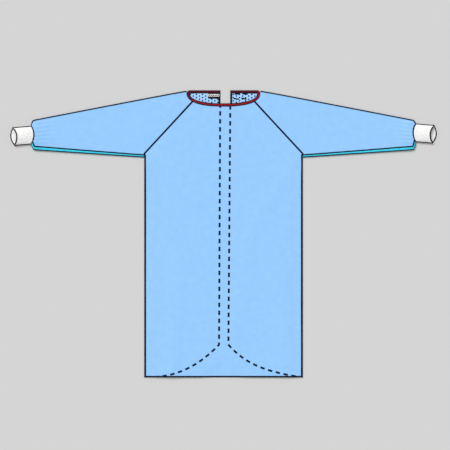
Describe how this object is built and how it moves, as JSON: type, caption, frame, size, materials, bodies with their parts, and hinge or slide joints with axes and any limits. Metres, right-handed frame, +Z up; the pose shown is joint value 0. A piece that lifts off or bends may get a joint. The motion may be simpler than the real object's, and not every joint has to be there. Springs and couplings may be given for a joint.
{
  "type": "surgical gown",
  "caption": "Disposable surgical gown laid flat, with raglan sleeves, taped underarm seams, knitted cuffs, a bound neckline and an open back with a touch fastener.",
  "frame": {"origin": "on the surface the gown lies on, under the centre of its outline", "axes": "+X along the wearer's left sleeve, +Y towards the neck, +Z up out of the front"},
  "size_m": [1.8532, 1.25, 0.0184],
  "materials": {
    "gown_cloth": "soft light blue nonwoven with a fine bonding pattern",
    "cuff_knit": "matt white ribbed knit",
    "seam_tape": "slightly glossy turquoise film tape",
    "neck_tape": "matt red bias binding",
    "fastener": "matt black loop and hook tape"
  },
  "bodies": {
    "root": {"front_panel": "gown_cloth", "back_panel_left": "gown_cloth", "back_panel_right": "gown_cloth", "sleeve_left": "gown_cloth", "sleeve_right": "gown_cloth", "cuff_left": "cuff_knit", "cuff_right": "cuff_knit", "sleeve_tape_left": "seam_tape", "sleeve_tape_right": "seam_tape", "neck_binding": "neck_tape", "loop_patch": "fastener", "hook_patch": "fastener"}
  },
  "joints": []
}
